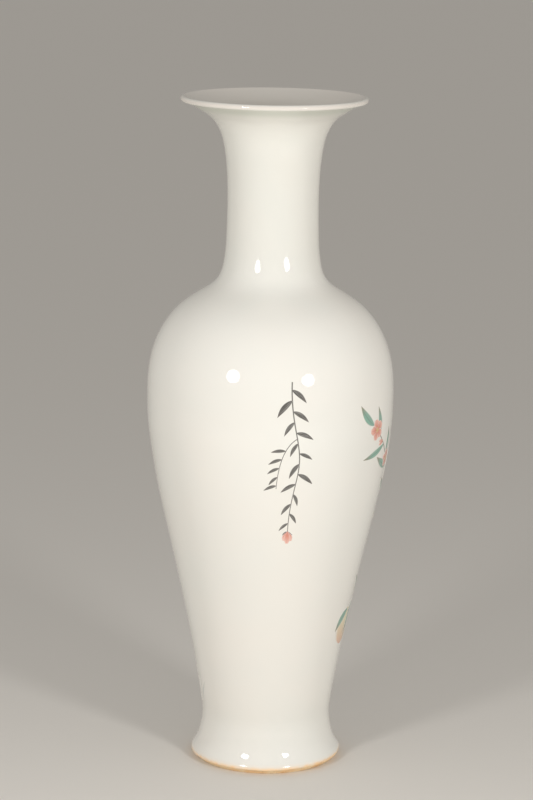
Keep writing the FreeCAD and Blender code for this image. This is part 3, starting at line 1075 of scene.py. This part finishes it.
# %% Hanging sprig on the front
SPRIG = ((10.0, 275), (9.0, 252), (18.5, 222), (10.0, 198), (10.0, 174))
SIDE_TWIG = ((12.9, 238), (4.6, 232), (3.4, 204))
SPRIG_LEAVES, TWIG_LEAVES, LAST_LEAF = 14, 5, 0.94
LEAN = (28, 62)
BUD_PETALS = ((-18, 1.05), (17, 1.0), (0, 1.25))
SEPALS = (-52, 50)
STEM_WIDTHS, TWIG_WIDTHS = (0.9, 0.5), (0.6, 0.4)


def sprig_leaves(line, start, count, size, sides):
    """Small leaves, by turns on the sides given, smaller towards the end."""
    leaves = []
    for i in range(count):
        share = start + (LAST_LEAF - start) * i / (count - 1)
        root, heading = along(line, share)
        side = sides[i % len(sides)]
        length = size * (1 - 0.3 * share) * rng.uniform(0.85, 1.15)
        turn = heading + side * rng.uniform(*LEAN)
        leaves.append(lay_leaf(root, turn, side, length, 1.12 * length))
    return leaves


def paint_sprig():
    """The sprig with its leaves, and the bud at its end."""
    stem, line = stroke(SPRIG, *STEM_WIDTHS)
    twig, twig_line = stroke(SIDE_TWIG, *TWIG_WIDTHS)
    leaves = sprig_leaves(line, 0.05, SPRIG_LEAVES, 0.52, (-1, 1))
    leaves += sprig_leaves(twig_line, 0.3, TWIG_LEAVES, 0.42, (1,))
    tip, heading = along(line, 1.0)
    petals = [lay(PETAL, tip, heading + spread, size, 0.62) for spread, size in BUD_PETALS]
    sepals = [lay(LEAF, tip, heading + spread, 0.17, 0.22) for spread in SEPALS]
    layers = [[stem, twig], leaves[::3], leaves[1::3], leaves[2::3] + sepals]
    sprig = roll_on(layers, "painted_sprig")
    return sprig, roll_on([petals[:2], petals[2:]], "painted_bud", 4)


sprig, bud = paint_sprig()
wear(sprig, INK)
wear(bud, CORAL)

# %% [markdown]
# On the right a fruit tree rises from low at the back. One branch arches towards the front, one
# goes on round the back, and a low twig bears ripening fruit. Leaves and blossoms grow from them.

# %% Fruit tree round the right side
# Path, width at the root and at the end, and count of leaves. The first row is the trunk.
BRANCHES = (
    (((131, 40), (125, 64), (112, 90), (110, 128)), 3.6, 2.2, 0),
    (((110, 126), (101, 160), (90, 190), (72, 222), (56, 240)), 2.1, 0.6, 11),
    (((110, 124), (122, 156), (138, 186), (154, 212), (171, 240)), 2.0, 0.6, 11),
    (((113, 98), (101, 114), (86, 118), (72, 108)), 1.4, 0.6, 6),
    (((100, 158), (103, 188), (113, 218), (108, 248)), 1.2, 0.5, 7),
    (((136, 182), (148, 176), (164, 170), (180, 182)), 1.1, 0.5, 6),
)
# Branch, share of the way along it, and a blossom's size or a bud's lean.
BLOSSOMS = (
    (1, 0.96, 1.0), (1, 0.72, 0.9), (1, 0.36, 1.05), (2, 0.30, 1.0), (2, 0.62, 0.95),
    (2, 0.93, 1.0), (4, 0.45, 0.95), (4, 0.98, 0.9), (5, 0.85, 0.95),
)
BUDS = ((1, 0.55, 40), (1, 0.86, -50), (2, 0.48, -42), (2, 0.80, 46), (4, 0.74, -44), (5, 0.40, 50))
PETAL_TURN, STAMEN_TURN = 72, 51.4
# Share of the way along the fruit's twig, turn and size.
FRUIT_TWIG = 3
FRUITS = ((0.97, 186, 0.98), (0.60, 176, 0.66), (0.30, 192, 0.92))


def paint_leaves(line, count):
    """Leaves by turns on the two sides of a branch, and one at its end."""
    leaves = []
    for i in range(count):
        root, heading = along(line, 0.16 + 0.84 * i / (count - 1))
        side = 1 if i % 2 else -1
        lean = side * rng.uniform(*LEAN) if i < count - 1 else rng.uniform(-12, 12)
        length, width = rng.uniform(0.74, 1.12), rng.uniform(0.8, 1.15)
        leaves.append(lay_leaf(root, heading + lean, side, length, width))
    return leaves


def paint_blossom(middle, size):
    """Five petals and seven stamens round a place."""
    start = rng.uniform(0, PETAL_TURN)
    petals, stamens = [], []
    for i in range(5):
        turn = start + PETAL_TURN * i + rng.uniform(-5, 5)
        petals.append(lay(PETAL, middle, turn, size, size))
    for i in range(7):
        turn = start + STAMEN_TURN * i + 20
        stamens.append(lay(LEAF, middle, turn, 0.11 * size, 0.09))
    return petals, stamens


def paint_tree():
    """The whole tree, as five pieces of enamel, each with its finish."""
    strips, lines, leaves, petals, stamens = [], [], [], [], []
    for corners, start, end, count in BRANCHES:
        strip, line = stroke(corners, start, end)
        strips.append(strip)
        lines.append(line)
        leaves += paint_leaves(line, count) if count else []
    for branch, share, size in BLOSSOMS:
        some_petals, some_stamens = paint_blossom(along(lines[branch], share)[0], size)
        petals += some_petals
        stamens += some_stamens
    for branch, share, lean in BUDS:
        root, heading = along(lines[branch], share)
        petals += [lay(PETAL, root, heading + lean + spread, 0.75, 0.45) for spread in (-14, 12)]
    twig = lines[FRUIT_TWIG]
    fruits = [lay(FRUIT, along(twig, share)[0], turn, size, size) for share, turn, size in FRUITS]
    return (
        (roll_on([strips[1:], strips[:1]], "painted_branches"), BARK),
        (roll_on([fruits[1:2], fruits[::2]], "painted_fruit", 2), OCHRE),
        (roll_on([leaves[::3], leaves[1::3], leaves[2::3]], "painted_leaves", 4), LEAF_GREEN),
        (roll_on([petals[::2], petals[1::2]], "painted_blossoms", 7), CORAL),
        (roll_on([stamens], "painted_stamens", 9), STAMEN),
    )


for piece, finish in paint_tree():
    wear(piece, finish)

# %% [markdown]
# A few faint blades of grass grow low on the left and round the foot of the tree. The models of
# the brush's touches and the drum have then done their work and are removed.

# %% Faint grass
GRASS_TUFTS = ((-101, 38, 9), (119, 36, 8))
GRASS_STEP = 3.2
BLADE_LEAN, BLADE_LENGTHS, BLADE_WIDTH = 32, (0.5, 0.95), 0.26


def paint_grass():
    """Tufts of blades, each tuft from a place of the picture to the right."""
    blades = []
    for start, height, count in GRASS_TUFTS:
        for i in range(count):
            root = flat_place(start + GRASS_STEP * i, height + rng.uniform(-1, 2))
            side = 1 if i % 2 else -1
            turn, length = rng.uniform(-BLADE_LEAN, BLADE_LEAN), rng.uniform(*BLADE_LENGTHS)
            blades.append(lay_leaf(root, turn, side, length, BLADE_WIDTH))
    return roll_on([blades[::2], blades[1::2]], "painted_grass", 2)


wear(paint_grass(), WASH)
for helper in (*MODELS, drum):
    bpy.data.objects.remove(helper)

# %% [markdown]
# The floor is one wide pale sheet. It runs so far back that no edge of it shows from the camera.

# %% Pale floor
FLOOR_SIZE = 40.0
FLOOR_COLOUR = (0.725, 0.69, 0.64)
FLOOR_ROUGHNESS, FLOOR_SPECULAR = 0.8, 0.2


def lay_floor():
    """Wide matt sheet under the vase, for the studio only."""
    clear_selection()
    bpy.ops.mesh.primitive_plane_add(size=FLOOR_SIZE)
    floor = bpy.context.active_object
    floor.name = "studio_floor"
    finish, shader, _ = new_finish("floor_paper", FLOOR_ROUGHNESS, FLOOR_SPECULAR)
    feed(finish, shader.inputs["Base Color"], FLOOR_COLOUR)
    wear(floor, finish)
    return floor


floor = lay_floor()
